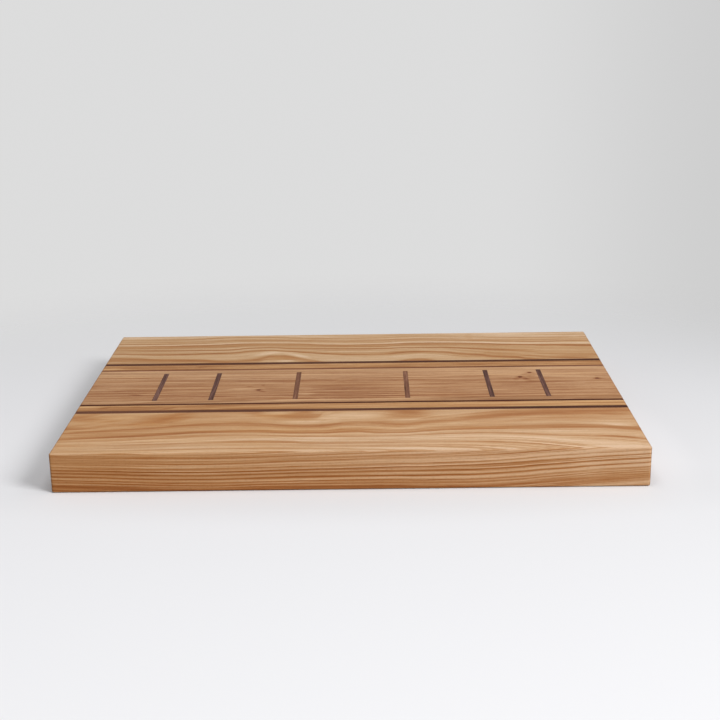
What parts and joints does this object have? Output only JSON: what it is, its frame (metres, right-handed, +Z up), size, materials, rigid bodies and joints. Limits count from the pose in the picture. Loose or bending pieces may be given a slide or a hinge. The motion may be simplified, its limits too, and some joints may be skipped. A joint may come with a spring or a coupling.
{
  "type": "serving board",
  "caption": "Rectangular wooden serving board of edge-glued planks and contrasting strips, with dark bars inlaid across its middle plank.",
  "frame": {"origin": "middle of the underside", "axes": "+X along the grain and the board's length, +Y to the back, +Z up out of the serving face"},
  "size_m": [0.45, 0.3206, 0.031],
  "materials": {
    "outer_plank": "satin oil on pale, strongly figured wood",
    "light_strip": "satin oil on golden wood",
    "edging_strip": "satin oil on pale straight-grained wood",
    "centre_plank": "satin oil on pinkish-brown straight-grained wood",
    "dark_strip": "satin oil on dark brown wood",
    "inlay_bar": "satin oil on dark brown wood"
  },
  "bodies": {
    "root": {"front_plank": "outer_plank", "front_outer_dark_strip": "dark_strip", "front_light_strip": "light_strip", "front_inner_dark_strip": "dark_strip", "front_edging_strip": "edging_strip", "centre_plank": "centre_plank", "back_edging_strip": "edging_strip", "back_inner_dark_strip": "dark_strip", "back_light_strip": "light_strip", "back_outer_dark_strip": "dark_strip", "back_plank": "outer_plank", "inlay_bar_1": "inlay_bar", "inlay_bar_2": "inlay_bar", "inlay_bar_3": "inlay_bar", "inlay_bar_4": "inlay_bar", "inlay_bar_5": "inlay_bar", "inlay_bar_6": "inlay_bar"}
  },
  "joints": []
}
